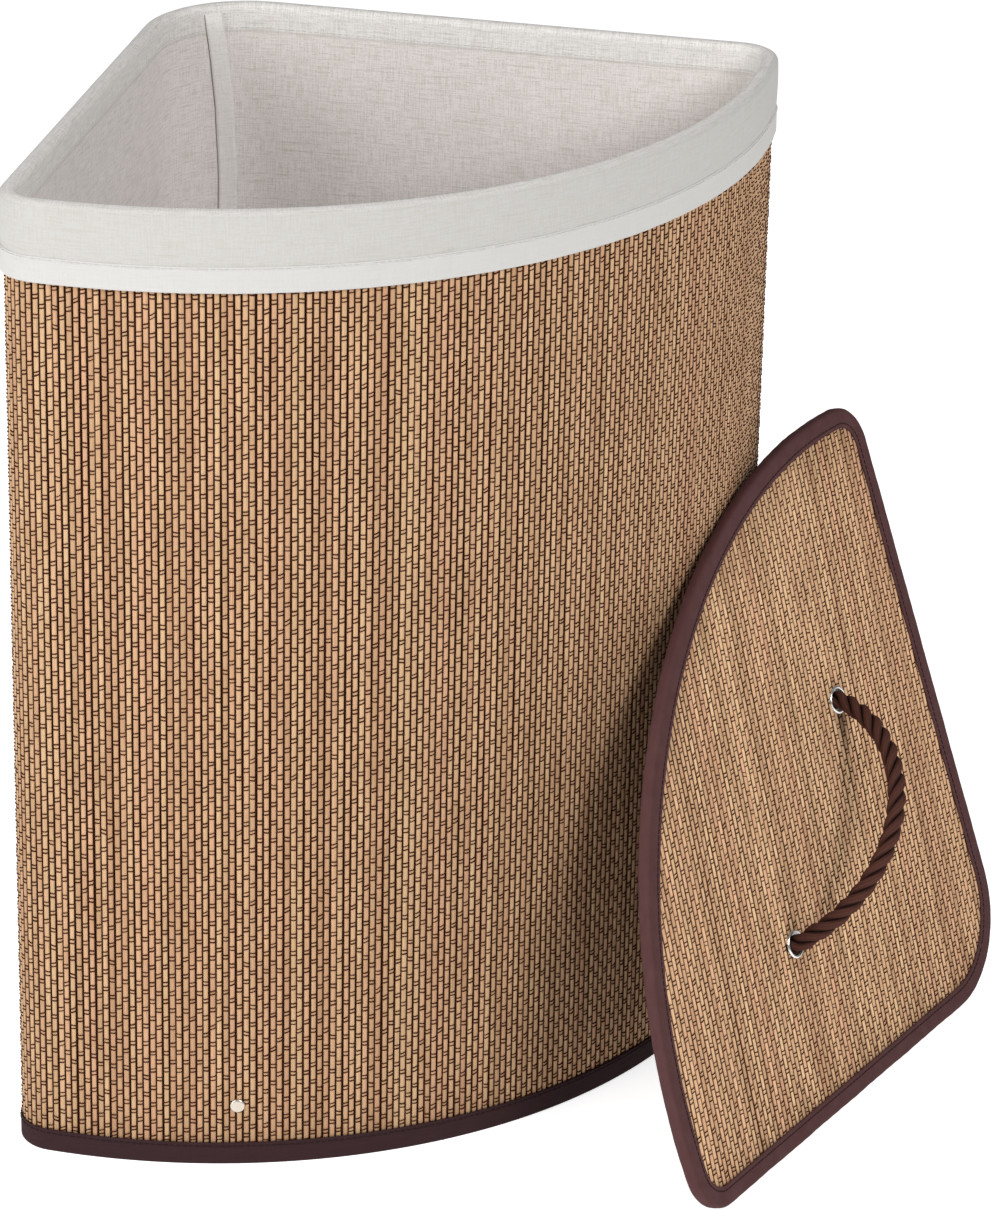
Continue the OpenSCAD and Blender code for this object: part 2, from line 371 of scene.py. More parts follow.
def mix(tree, share, a, b, kind="MIX"):
    """Mixes two colours, given as tuples or outputs, by a share."""
    made = tree.nodes.new("ShaderNodeMix")
    made.data_type = "RGBA"
    made.blend_type = kind
    for socket, value in ((made.inputs[0], share), (made.inputs[6], a), (made.inputs[7], b)):
        if isinstance(value, bpy.types.NodeSocket):
            tree.links.new(value, socket)
        else:
            socket.default_value = (*value, 1) if isinstance(value, tuple) else value
    return made.outputs[2]


def spread(tree, value, low, high, to_low=0.0, to_high=1.0):
    """Maps a value's range onto another, clamped."""
    return node(tree, "ShaderNodeMapRange", [("Value", value), ("From Min", low), ("From Max", high),
                                             ("To Min", to_low), ("To Max", to_high)]).outputs[0]


def uv_noise(tree, across, along, detail=2.0, offset=0.0):
    """Noise on the piece's UV, in metres, with its own number of grains per metre each way."""
    uv = node(tree, "ShaderNodeTexCoord").outputs["UV"]
    moved = node(tree, "ShaderNodeMapping", [("Vector", uv), ("Location", (offset, offset, offset)),
                                             ("Scale", (across, along, 1))]).outputs[0]
    return node(tree, "ShaderNodeTexNoise", [("Vector", moved), ("Scale", 1.0),
                                             ("Detail", detail)]).outputs["Fac"]


def uv_part(tree, axis):
    """One direction of the piece's UV, X or Y."""
    uv = node(tree, "ShaderNodeTexCoord").outputs["UV"]
    return node(tree, "ShaderNodeSeparateXYZ", [("Vector", uv)]).outputs[axis]


def grain(tree, scale, detail=2.0, distortion=0.0):
    """Noise through the whole of a piece, from 0 to 1; scale is its grains across the piece."""
    return node(tree, "ShaderNodeTexNoise", [("Scale", scale), ("Detail", detail),
                                             ("Distortion", distortion)]).outputs["Fac"]


def figure(tree, operation, *values):
    """One step of arithmetic on outputs and numbers."""
    return node(tree, "ShaderNodeMath", list(enumerate(values)), operation=operation).outputs[0]


def apart(tree, value, middle):
    """How far a value is from a middle, on either side: |value - middle|."""
    return figure(tree, "ABSOLUTE", figure(tree, "SUBTRACT", value, middle))


BAMBOO_TAN = (0.600, 0.378, 0.222)
BAMBOO_STRAW = (0.655, 0.455, 0.255)
BAMBOO_PINK = (0.590, 0.325, 0.200)
BAMBOO_DARK = (0.330, 0.175, 0.092)
# Painted shade: the dark colour laid along each slat's long edges, for the shaded gaps between slats
BAMBOO_GAP_SHADE = (0.085, 0.026, 0.007)


def split_bamboo(name, light, gap_shade):
    """Bamboo along the UV's second direction: fibre streaks and patches in each slat's own tint,
    with painted shade on the long edges for the gaps. UV across is 10 mm a bar plus the place
    across it, so its fraction finds the edges. Light scales the colour; gap_shade is the shade's depth."""
    tan, straw, pink = (tuple(light * c for c in colour)
                        for colour in (BAMBOO_TAN, BAMBOO_STRAW, BAMBOO_PINK))
    made, tree, shader = material(name, tan, 0.55, Specular_IOR_Level=0.12)
    tone = node(tree, "ShaderNodeAttribute", attribute_name="slat_tone").outputs["Fac"]
    hue = node(tree, "ShaderNodeAttribute", attribute_name="slat_hue").outputs["Fac"]
    fibre = uv_noise(tree, 2600, 35, 3.0)
    patch = uv_noise(tree, 60, 22, 2.0, 3.0)
    base = mix(tree, 0.60, tan, mix(tree, hue, pink, straw))
    base = mix(tree, spread(tree, tone, 0.0, 1.0, 0.0, 0.42), base, BAMBOO_DARK)
    base = mix(tree, spread(tree, patch, 0.42, 0.72, 0.0, 0.40), base, BAMBOO_DARK)
    base = mix(tree, spread(tree, fibre, 0.50, 0.72, 0.0, 0.58), base, BAMBOO_DARK)
    bar = figure(tree, "MULTIPLY_ADD", uv_part(tree, "X"), 1 / BAR_UV, 0.5)
    edge = apart(tree, figure(tree, "FRACT", bar), 0.5)
    # Painted shade along each slat's long edges, where the gaps between slats lie in shade
    base = mix(tree, spread(tree, edge, 0.112, 0.146, 0.0, gap_shade), base, BAMBOO_GAP_SHADE)
    tree.links.new(base, shader.inputs["Base Color"])
    tree.links.new(spread(tree, fibre, 0.3, 0.7, 0.48, 0.66), shader.inputs["Roughness"])
    bump(tree, fibre, 0.35, 0.0002, shader)
    return made


def thread_dye(name, dark, light):
    """Sewing thread with a fine uneven twist between two shades."""
    made, tree, shader = material(name, dark, 0.85, Specular_IOR_Level=0.1)
    twist = grain(tree, 900.0)
    tree.links.new(mix(tree, twist, dark, light), shader.inputs["Base Color"])
    return made


bamboo = split_bamboo("split_bamboo", 1.0, 0.94)
thread_brown = thread_dye("brown_thread", (0.034, 0.008, 0.003), (0.072, 0.020, 0.008))
backing_brown, tree, shader = material("backing_felt", (0.030, 0.010, 0.004), 0.95,
                                       Specular_IOR_Level=0.05)
felt = grain(tree, 1500.0, 4.0)
felt_colour = mix(tree, felt, (0.024, 0.007, 0.003), (0.056, 0.018, 0.008))
tree.links.new(felt_colour, shader.inputs["Base Color"])
bump(tree, felt, 0.5, 0.0003, shader)

# A slat's end-on shape: flat behind, rounded shoulders and a gently crowned face
SLAT_SHAPE = np.array([[-0.46, -1.0], [-0.5, -0.46], [-0.38, -0.15], [-0.14, 0.0], [0.14, 0.0],
                       [0.38, -0.15], [0.5, -0.46], [0.46, -1.0]]) * [SLAT_WIDTH, SLAT_THICK]
# A thread's end-on shape, for a radius of 1
YARN_SHAPE = np.array([[-1, -0.6], [-0.62, 0.85], [0.62, 0.85], [1, -0.6]])
# A thread's way over a slat, as (across the pitch, out from the slat's face)
THREAD_WAY = np.array([[-0.50, -0.00100], [-0.30, -0.00006], [0.30, -0.00006], [0.50, -0.00100]])
THREAD_DIP = 0.00030
THREAD_LIFT = 0.00026
THREAD_TILT = 0.00024
PAIR_TILT, OWN_TILT = 0.00026, 0.00010
PAIR_SHIFT, OWN_SHIFT = 0.00012, 0.00008
THREAD_INSET = 0.001
BOW = 0.00012
DRIFT_SPREAD = 0.00025
UP = np.array([0.0, 0.0, 1.0])


def assign(piece, body, slot, *stands_for):
    """Attaches a piece to its body and hides the nodes that it stands for; its finish's slot is not used."""
    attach(piece, body)
    if stands_for:
        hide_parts(*stands_for)
    return piece


def slat_tones(count):
    """Each slat's own darkness and hue, both from 0 to 1, darkness mostly low."""
    return {"slat_tone": rng.random(count) ** 1.7, "slat_hue": rng.random(count)}


def bow(along, shift):
    """How far each slat, a row of lengths along it, stands aside: its own shift and a slow bow."""
    row = (len(along), 1)
    return rng.normal(0, shift, row) + BOW * np.sin(
        along * rng.uniform(8, 26, row) + rng.uniform(0, 6, row))


def thread_places(first, last, index, drift):
    """Places of every thread along one slat, from first to last: pairs a period apart, which are
    half a period off those of its neighbour."""
    first, last = first + THREAD_INSET, last - THREAD_INSET
    start = (index % 2) * PAIR_PERIOD / 2 + drift
    low = np.ceil((first - start) / PAIR_PERIOD)
    high = np.floor((last - start) / PAIR_PERIOD)
    pairs = start + np.arange(low, high + 1) * PAIR_PERIOD
    return (pairs[:, None] + np.array([-0.5, 0.5]) * PAIR_SPACING).ravel()


slat_count = 2 * round(PLAN_LENGTH / SLAT_PITCH / 2)
pitch = PLAN_LENGTH / slat_count
slat_s = (np.arange(slat_count) + 0.5) * pitch
slat_z = np.tile(np.linspace(MAT_BOTTOM, MAT_TOP - THREAD_INSET, 14), (slat_count, 1))
slat_at = slat_s[:, None] + bow(slat_z, 0.00010)
middle = around(slat_at, SLAT_FACE, slat_z)
outward = around(slat_at, SLAT_FACE + 1, slat_z) - middle
mat_slats = bars("mat_slats", middle, np.cross(UP, outward), outward, SLAT_SHAPE, bamboo,
                 rng.uniform(0.94, 1.06, slat_count), slat_tones(slat_count))
assign(mat_slats, "hamper", "bamboo", "mat_front", "mat_left", "mat_right")


def weave(name, across, height, body, place_thread, paint, thickness=1.0):
    """Thread arcs over slats, each given by its slat's place across the mat and its own height: a
    pair shares its tilt and its shift, and each arc dips in the middle like a smile."""
    count = len(height)
    pair = np.repeat(rng.normal(0, 1, (2, count // 2 + 1)), 2, axis=1)[:, :count, None]
    own = rng.normal(0, 1, (2, count))[:, :, None]
    way, rise = THREAD_WAY.T
    tilt = (THREAD_TILT + PAIR_TILT * pair[0] + OWN_TILT * own[0]) * (way * 2)
    smile = THREAD_DIP * (4 * way ** 2 - 0.4)
    shift = PAIR_SHIFT * pair[1] + OWN_SHIFT * own[1]
    path, outward = place_thread(across[:, None] + way * pitch, height[:, None] + tilt + smile + shift,
                                 SLAT_FACE + rise + THREAD_LIFT)
    ahead = heading(path)
    side = np.cross(ahead, outward)
    assign(bars(name, path, side, np.cross(side, ahead), thickness * THREAD_R * YARN_SHAPE, paint,
                rng.uniform(0.75, 1.45, count)), body, "binding")


def wall_thread(s, z, out):
    """Thread points on the standing wall, with the wall's outward direction there."""
    path = around(s, out, z)
    return path, around(s, out + 1, z) - path


THREAD_PIECES = 6
BACKING_OUT = -0.0017
plan_turn = 2 * np.pi * slat_s / PLAN_LENGTH
drift = 0.0016 * np.sin(3 * plan_turn) + 0.0009 * np.sin(11 * plan_turn) \
    + rng.normal(0, DRIFT_SPREAD, slat_count)
heights = [thread_places(MAT_BOTTOM, MAT_TOP, i, drift[i]) for i in range(slat_count)]
for piece, group in enumerate(np.array_split(np.arange(slat_count), THREAD_PIECES)):
    weave(f"mat_threads_{piece + 1}", np.repeat(slat_s[group], [len(heights[i]) for i in group]),
          np.concatenate([heights[i] for i in group]), "hamper", wall_thread, thread_brown)

backing_shape = rounded([(-MAT_THICK, MAT_BOTTOM), (BACKING_OUT, MAT_BOTTOM), (BACKING_OUT, MAT_TOP),
                         (-MAT_THICK, MAT_TOP)], 0.0002, 2)
assign(ring("mat_backing", backing_shape, backing_brown), "hamper", "binding")

# Seam tape and edge bindings: dark brown non-woven tape, folded over the mat's edges and sewn
# with brown thread, and a strip of the same tape over the joint of the mat at the back corner.
BIND = 0.0006
FOOT_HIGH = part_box("foot_binding")[1].z
TOP_LOW, BIND_TOP = (c.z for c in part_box("top_binding"))
TAPE_WIDE = 0.026
STITCH = 0.0029
STITCH_PITCH = 0.0036
STITCH_SHAPE = 0.00026 * YARN_SHAPE
# A stitch's way, as (share of its length, out from the cloth)
STITCH_WAY = np.array([[-0.5, -0.00020], [-0.36, 0.00016], [0.36, 0.00016], [0.5, -0.00020]])
BINDING_BROWN = (0.034, 0.013, 0.015)


def nonwoven(name, colour):
    """Felted tape: a fine mottled colour, a matt finish and a pressed fibre relief."""
    made, tree, shader = material(name, colour, 0.88, Specular_IOR_Level=0.2)
    speck = grain(tree, 1900.0, 5.0)
    cloud = grain(tree, 38.0, 3.0)
    dark, light = tuple(0.72 * c for c in colour), tuple(1.30 * c for c in colour)
    base = mix(tree, spread(tree, speck, 0.3, 0.7), dark, light)
    base = mix(tree, spread(tree, cloud, 0.35, 0.70, 0.0, 0.35), base, dark)
    tree.links.new(base, shader.inputs["Base Color"])
    tree.links.new(spread(tree, cloud, 0.3, 0.7, 0.74, 0.9), shader.inputs["Roughness"])
    bump(tree, speck, 0.45, 0.00025, shader)
    return made


binding_brown = nonwoven("binding_tape", BINDING_BROWN)
binding_thread = nonwoven("binding_thread", (0.026, 0.010, 0.011))


def stitch_row(name, body, slot, out, z, paint, facing, place=same):
    """A row of sewn stitches all round the plan; facing is out, in, up or down."""
    s = all_round[:, None] + STITCH_WAY[None, :, 0] * STITCH
    base = around(s, out, z)
    normal = around(s, out + 1, z) - base
    away = {"out": normal, "in": -normal, "up": UP + 0 * normal, "down": -UP + 0 * normal}[facing]
    path = base + away * STITCH_WAY[None, :, 1:]
    placed = place(path)
    outward = place(path + away) - placed
    side = np.cross(heading(placed), outward)
    return assign(bars(name, placed, side, outward, STITCH_SHAPE, paint), body, slot)


all_round = np.arange(0, PLAN_LENGTH - STITCH, STITCH_PITCH)
INNER = -MAT_THICK - BIND
foot_shape = rounded([(INNER, 0), (BIND, 0), (BIND, FOOT_HIGH), (0, FOOT_HIGH), (0, BIND), (-MAT_THICK, BIND),
                      (-MAT_THICK, FOOT_HIGH), (INNER, FOOT_HIGH)],
                     np.array([0.9, 1.2, 0.3, 0.2, 0.3, 0.3, 0.2, 0.2]) / 1000)


def tape_ripple(s, out, z):
    """Tiny puckers where the tape is sewn, stronger towards its sewn edge."""
    pull = 0.5 + 0.5 * np.sin(2 * np.pi * s / (3 * STITCH_PITCH))
    return np.where(out > 0, 0.00013 * pull * np.clip(z / FOOT_HIGH, 0, 1), 0)


assign(ring("foot_tape", foot_shape, binding_brown, 1000, ripple=tape_ripple),
       "hamper", "binding", "foot_binding")
stitch_row("foot_stitches", "hamper", "binding", BIND + 0.0001, FOOT_HIGH - 0.0022, binding_thread, "out")

FOLD_LOW = BIND_TOP - BIND
top_shape = rounded([(INNER, TOP_LOW), (-MAT_THICK, TOP_LOW), (-MAT_THICK, FOLD_LOW), (0, FOLD_LOW),
                     (0, TOP_LOW), (BIND, TOP_LOW), (BIND, BIND_TOP), (INNER, BIND_TOP)],
                    np.array([0.2, 0.2, 0.2, 0.8, 0.2, 0.2, 2.4, 0.2]) / 1000)
top_binding = ring("top_tape", top_shape, binding_brown, 480)
assign(top_binding, "hamper", "binding", "top_binding")

TAPE_LOW = FOOT_HIGH - 0.001
tape_shape = rounded([(0.0, TAPE_LOW), (BIND, TAPE_LOW), (BIND, TOP_LOW), (0.0, TOP_LOW)], 0.0003)
assign(ring("back_tape", tape_shape, binding_brown, 24, span=(-TAPE_WIDE / 2, TAPE_WIDE / 2)),
       "hamper", "binding", "seam_tape")

# Rim lath, base board and studs: a thin wooden lath stiffens the rim inside the mat, a loose
# fibreboard base stands inside the foot, and press studs hold its cloth straps to the wall.
LATH_THICK = 0.003
LATH_LOW, LATH_TOP = (c.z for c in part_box("rim_lath"))


def timber(name, pale, dark, streaks):
    """Plain wood or fibreboard: soft streaks between two shades, so many across."""
    made, tree, shader = material(name, pale, 0.62)
    streak = grain(tree, streaks, 5.0, 0.6)
    tree.links.new(mix(tree, spread(tree, streak, 0.32, 0.70), pale, dark), shader.inputs["Base Color"])
    bump(tree, streak, 0.25, 0.0003, shader)
    return made


lath_wood = timber("lath_wood", (0.56, 0.40, 0.24), (0.40, 0.26, 0.14), 60.0)
fibreboard = timber("fibreboard", (0.42, 0.29, 0.18), (0.33, 0.22, 0.13), 700.0)
lath_shape = rounded([(INNER - LATH_THICK, LATH_LOW), (INNER, LATH_LOW), (INNER, LATH_TOP),
                      (INNER - LATH_THICK, LATH_TOP)], 0.0012)
rim_lath = assign(ring("rim_hoop", lath_shape, lath_wood, 480), "hamper", "board", "rim_lath")
for board in ("base_board", "lid_core"):
    nodes[board].data.materials.clear()
    nodes[board].data.materials.append(fibreboard)


def turned(name, profile, centres, axes, side, paint, body, stands_for, steps=48):
    """Turned pieces: a closed profile of (radius, height) spun round each centre's own axis, from
    a side square to it: centre + radius (side cos a + (axis x side) sin a) + height axis."""
    angle = np.linspace(0, 2 * np.pi, steps, endpoint=False)[:, None, None]
    one = grid_faces(steps, len(profile), True, True)
    points, quads = [], []
    for centre, axis in zip(centres, axes):
        across = np.cross(axis, side)
        radial = np.cos(angle) * side + np.sin(angle) * across
        points.append((centre + radial * profile[None, :, :1] + axis * profile[None, :, 1:]).reshape(-1, 3))
        quads.append(one + len(quads) * steps * len(profile))
    made = finish_mesh(mesh_object(name, np.concatenate(points), np.concatenate(quads), paint=paint))
    assign(made, body, "metal", stands_for)


def brushed(name, colour, roughness):
    """Plated metal: fine handling marks in its finish over a slightly uneven surface."""
    made, tree, shader = material(name, colour, roughness, Metallic=1.0)
    marks = grain(tree, 420.0, 4.0, 1.2)
    dull = spread(tree, marks, 0.35, 0.7, 0.7 * roughness, 1.5 * roughness)
    tree.links.new(dull, shader.inputs["Roughness"])
    base = mix(tree, spread(tree, marks, 0.4, 0.8, 0.0, 0.5), colour, tuple(0.8 * c for c in colour))
    tree.links.new(base, shader.inputs["Base Color"])
    bump(tree, marks, 0.08, 0.0002, shader)
    return made


stud_metal = brushed("stud_metal", (0.72, 0.66, 0.58), 0.34)
STUD_Z = 0.038
STUD_ARC = np.radians(29)
STUD_LEG = 0.150
CAP_PROFILE = rounded([(0.0, -0.0003), (0.0042, -0.0003), (0.0042, 0.0009), (0.0033, 0.00145),
                       (0.0, 0.00155)], np.array([0.0, 0.2, 0.5, 0.5, 0.0]) / 1000)
SOCKET_PROFILE = rounded([(0.0, -0.0064), (0.0032, -0.0064), (0.0045, -0.0058), (0.0045, -0.0047),
                          (0.0, -0.0047)], np.array([0.0, 0.5, 0.4, 0.2, 0.0]) / 1000)
stud_leg_s = BACK_R * np.pi / 4 + STUD_LEG - BACK_R
stud_s = PLAN_LENGTH / 2 + FRONT_R * STUD_ARC * np.array([0, -1, 1, 0])
stud_s[[0, 3]] = stud_leg_s, PLAN_LENGTH - stud_leg_s
stud_at = around(stud_s, 0, STUD_Z)
stud_out = around(stud_s, 1, STUD_Z) - stud_at
turned("stud_heads", CAP_PROFILE, stud_at, stud_out, UP, stud_metal, "hamper", "stud_caps")
turned("stud_backs", SOCKET_PROFILE, stud_at, stud_out, UP, stud_metal, "hamper", "stud_sockets")

# Liner: one strip of pale linen runs up the inside of the wall, over the rim and down outside
# as a cuff. It is closed by one felled seam and hemmed, and has a floor sewn in at the foot.
CLOTH = 0.0008
WALL_OUT = -0.0070
CUFF_OUT = 0.0014
CLOTH_FACE = WALL_OUT - CLOTH / 2
CLOTH_TOP = cad_high.z - CLOTH / 2
CLOTH_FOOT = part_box("liner_front")[0].z
CUFF_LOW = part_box("liner_cuff")[0].z
FOLD = 0.0038
HEM_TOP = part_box("cuff_hem")[1].z
cloth_high = CLOTH_TOP - CLOTH_FOOT
CUFF_BULGE = 0.0006
SAG = 0.0030
FACING = 0.0160
# One linen at three brightnesses that partly stand in for light: the outer tint is the darkest, on the most lit
# face; the inside tint is lighter and pinker, partly the cloth's other side and partly painted light on the
# shaded inside; the facing tint is a real facing strip, and where it runs on over the rim's top it is a painted
# highlight against the rim top's shade
LINEN_OUT = (0.508, 0.499, 0.482)
LINEN_FACING = (0.850, 0.825, 0.800)
LINEN_IN = (0.840, 0.786, 0.766)
LINEN_HEM = (0.560, 0.550, 0.535)
# Flax flecks of the cloth, and also the colour of the painted shadow line at the facing's join
FLAX_AND_SHADE = (0.420, 0.390, 0.335)


def linen(name, colour, show=1.0, facing=None, outer=None):
    """Plain linen weave on the piece's UV: crossed uneven yarns with thick slubs, in colour and
    relief. The wall's strip has two more tints, partly painted light: facing above its join and, as a
    painted highlight, over the rim's top; outer past the fold; and a painted shadow line at the join."""
    made, tree, shader = material(name, colour, 0.9, Sheen_Weight=0.12, Sheen_Roughness=0.6)
    weft = uv_noise(tree, 95, 1500, 4.0)
    warp = uv_noise(tree, 1350, 80, 4.0, 5.0)
    slub = uv_noise(tree, 38, 640, 3.0, 9.0)
    fleck = uv_noise(tree, 1100, 800, 4.0, 14.0)
    base = colour
    if facing:
        length = uv_part(tree, "Y")
        join = cloth_high - FACING
        base = mix(tree, spread(tree, length, join, join + 0.0006), colour, facing)
        # Painted highlight: the light facing tint runs on past the fold over the rim's top, lifting its shade,
        # and the outer tint starts only past the outer corner
        base = mix(tree, spread(tree, length, cloth_high + 0.004, cloth_high + 0.009), base, outer)
        # Painted shadow: a narrow darker line at the join, for the shade under the facing's edge
        base = mix(tree, spread(tree, apart(tree, length, join), 0.0003, 0.0011, 0.32, 0.0), base, FLAX_AND_SHADE)
    yarns = figure(tree, "ADD", weft, warp)
    base = mix(tree, spread(tree, yarns, 0.90, 1.22, 0.0, 0.42 * show), base, FLAX_AND_SHADE)
    base = mix(tree, spread(tree, slub, 0.54, 0.72, 0.0, 0.34 * show), base, FLAX_AND_SHADE)
    base = mix(tree, spread(tree, fleck, 0.52, 0.74, 0.0, 0.50 * show), base, FLAX_AND_SHADE)
    tree.links.new(base, shader.inputs["Base Color"])
    bump(tree, yarns, 0.35 * show, 0.00035, shader)
    return made


def wave_sum(s, z, terms):
    """A soft closed wave round the plan: sines of whole turns whose phase drifts with height."""
    return sum(size * np.sin(2 * np.pi * turns * s / PLAN_LENGTH + start + drift * z)
               for turns, size, start, drift in terms)


def liner_ripple(s, out, z):
    """Cloth stands off the wall in soft folds between its foot and rim, and the cuff bellies out."""
    free = np.clip((z - 0.012) / 0.06, 0, 1) * np.clip((cad_high.z - 0.011 - z) / 0.05, 0, 1)
    fold = wave_sum(s, z, [(7, 0.45, 0.0, 7.0), (13, 0.30, 1.7, -11.0), (23, 0.17, 4.0, 16.0),
                           (41, 0.08, 2.0, -30.0)])
    inward = -SAG * free * np.clip(0.5 + 0.5 * fold, 0, 1)
    belly = np.sin(np.pi * np.clip((z - HEM_TOP) / (cad_high.z - HEM_TOP - 0.001), 0, 1))
    pucker = 0.75 + wave_sum(s, z, [(17, 0.14, 0.4, 40.0), (31, 0.10, 2.2, -60.0), (67, 0.05, 1.0, 90.0)])
    return np.where(out < -0.004, inward, np.where(z < cad_high.z - 0.0015, CUFF_BULGE * belly * pucker, 0))


def corner(a, b, c, reach, steps=9):
    """Points of a quadratic turn at b, on the way from a to c, that starts and ends reach away."""
    a, b, c = (np.array(v, float) for v in (a, b, c))
    start = b + (a - b) / np.linalg.norm(a - b) * reach
    end = b + (c - b) / np.linalg.norm(c - b) * reach
    t = np.linspace(0, 1, steps)[:, None]
    return (1 - t) ** 2 * start + 2 * t * (1 - t) * b + t ** 2 * end


def two_faces(line, thick):
    """A closed profile: a line's left face, then its right face on the way back."""
    way = heading(line)
    left = np.column_stack([-way[:, 1], way[:, 0]])
    return np.concatenate([line + left * thick / 2, (line - left * thick / 2)[::-1]])


inner_top, outer_top = (WALL_OUT, CLOTH_TOP), (CUFF_OUT, CLOTH_TOP)
cuff_foot = (CUFF_OUT, CUFF_LOW + CLOTH / 2)
rise = np.linspace((WALL_OUT, CLOTH_FOOT), (WALL_OUT, CLOTH_TOP - FOLD), 48)[:-1]
drop = np.linspace((CUFF_OUT, CLOTH_TOP - FOLD), cuff_foot, 10)[1:]
cloth_line = np.concatenate([rise, corner(rise[0], inner_top, outer_top, FOLD),
                             corner(inner_top, outer_top, cuff_foot, FOLD), drop])
linen_wall = linen("linen_wall", LINEN_IN, 1.0, LINEN_FACING, LINEN_OUT)
liner_cloth = ring("liner_cloth", two_faces(cloth_line, CLOTH), linen_wall, 420, ripple=liner_ripple)
assign(liner_cloth, "liner", "liner", "liner_front", "liner_left", "liner_right", "liner_cuff")

linen_hem = linen("linen_hem", LINEN_HEM, 0.35)
hem_shape = rounded([(CUFF_OUT - CLOTH / 2, CUFF_LOW), (CUFF_OUT + 0.00105, CUFF_LOW),
                     (CUFF_OUT + 0.00085, HEM_TOP), (CUFF_OUT - CLOTH / 2, HEM_TOP)],
                    np.array([0.3, 1.1, 0.35, 0.2]) / 1000, 6)


def hem_ripple(s, out, z):
    """The hem's outer face is drawn in a little at every few stitches."""
    return np.where(out > CUFF_OUT, wave_sum(s, z, [(37, 0.00008, 0.0, 40.0), (91, 0.00005, 2.0, 0.0)]), 0)


cuff_hem = ring("liner_hem", hem_shape, linen_hem, 840, ripple=hem_ripple)
assign(cuff_hem, "liner", "liner", "cuff_hem")

linen_thread = nonwoven("linen_thread", (0.66, 0.65, 0.63))
hem_stitches = stitch_row("hem_stitches", "liner", "liner", CUFF_OUT + 0.00095, HEM_TOP - 0.0013,
                          linen_thread, "out")
rim_stitches = stitch_row("rim_stitches", "liner", "liner", CLOTH_FACE, cad_high.z - FACING + 0.0015,
                          linen_thread, "in")

# Felled seam of the liner, near the back corner: a doubled band of cloth, sewn down on one side,
# whose free edge shows as a fine dark line: a thin strip of painted shadow along it.
SEAM_EDGE = -0.0030
SEAM_WIDE = 0.013
SEAM_DRIFT = 0.0065
linen_seam = linen("linen_seam", LINEN_FACING, 0.5)
# Painted shadow: the dark colour of the strip along the seam band's free edge
seam_shade = nonwoven("seam_shadow", (0.34, 0.28, 0.25))
SEAM_LINE = 0.0006
SEAM_LOW, SEAM_HIGH = CLOTH_FOOT + 0.001, cad_high.z - 0.005


def seam_drift(z):
    """The seam leans to one side below the rim and then wanders a little down the wall."""
    lean = -SEAM_DRIFT * np.clip((cad_high.z - 0.008 - z) / 0.055, 0, 1)
    return lean - 0.0012 * np.sin(19 * z) - 0.0005 * np.sin(83 * z)


def seam_strip(name, proud, paint, steps, span):
    """A thin upright strip on the liner's face, from just within the cloth to proud of it."""
    inner, outer = CLOTH_FACE - proud, CLOTH_FACE + 0.0002
    profile = np.concatenate([np.linspace((inner, SEAM_LOW), (inner, SEAM_HIGH), 60),
                              np.linspace((outer, SEAM_HIGH), (outer, SEAM_LOW), 60)])
    return ring(name, profile, paint, steps, span=span, ripple=liner_ripple, skew=seam_drift)


seam_band = seam_strip("liner_seam_band", 0.0007, linen_seam, 7, (SEAM_EDGE - SEAM_WIDE, SEAM_EDGE))
# Painted shadow: a thin dark strip along the band's free edge, where its edge shades the cloth
seam_shadow_strip = seam_strip("liner_seam_shadow", 0.00035, seam_shade, 3, (SEAM_EDGE, SEAM_EDGE + SEAM_LINE))
assign(seam_band, "liner", "liner", "liner_seam")
assign(seam_shadow_strip, "liner", "liner")

# Liner floor: a flat panel of the same linen, slack in the middle and sewn in round its edge.
FLOOR_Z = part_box("liner_bottom")[0].z
SPOKES = 240
floor_share = np.linspace(0, 1, 30)
floor_edge = around(np.linspace(0, PLAN_LENGTH, SPOKES, endpoint=False), CLOTH_FACE, FLOOR_Z)
floor_mid = np.array([0, 0.02, FLOOR_Z])
spokes = floor_mid + (floor_edge - floor_mid)[:, None] * floor_share[None, :, None]
wrinkle = 0.0012 * (1 - floor_share ** 4) * (0.5 + 0.5 * np.sin(
    34 * spokes[..., 0] + 3 * np.sin(21 * spokes[..., 1])) * np.cos(27 * spokes[..., 1]))
under, over = spokes.copy(), spokes.copy()
under[..., 2] += wrinkle
over[..., 2] += wrinkle + CLOTH
panel = np.concatenate([under, over[:, ::-1]], 1)
floor_quads = grid_faces(SPOKES, 2 * len(floor_share), True, True)
floor_uv = panel[..., :2].reshape(-1, 2)[floor_quads.ravel()]
liner_floor = finish_mesh(mesh_object("liner_floor", panel.reshape(-1, 3), floor_quads,
                                      paint=linen("linen_floor", LINEN_IN), uv=floor_uv))
assign(liner_floor, "liner", "liner", "liner_bottom")

# Base straps: four short straps of the same linen, sewn to the board's edge and snapped to the
# wall by the studs. Each runs down the wall, turns in under the board and is stitched at its sides.
TAB_OUT = -0.0041
TAB_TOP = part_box("base_tabs")[1].z
TAB_FOOT = 0.0056
TAB_REACH = 0.0255
TAB_BEND = 0.0032
TAB_SHAPE = rounded([(-0.012, -0.0006), (-0.012, 0.0006), (0.012, 0.0006), (0.012, -0.0006)], 0.0005, 3)
tab_bend = corner((TAB_OUT, TAB_TOP), (TAB_OUT, TAB_FOOT), (-TAB_REACH, TAB_FOOT), TAB_BEND)
tab_line = np.concatenate([np.linspace((TAB_OUT, TAB_TOP), (TAB_OUT, TAB_FOOT + TAB_BEND), 12)[:-1], tab_bend,
                           np.linspace((TAB_OUT - TAB_BEND, TAB_FOOT), (-TAB_REACH, TAB_FOOT), 6)[1:]])
tab_way = heading(tab_line)
wall_out = stud_out[:, None]
tab_path = stud_at[:, None] * [1, 1, 0] + wall_out * tab_line[None, :, :1] + UP * tab_line[None, :, 1:]
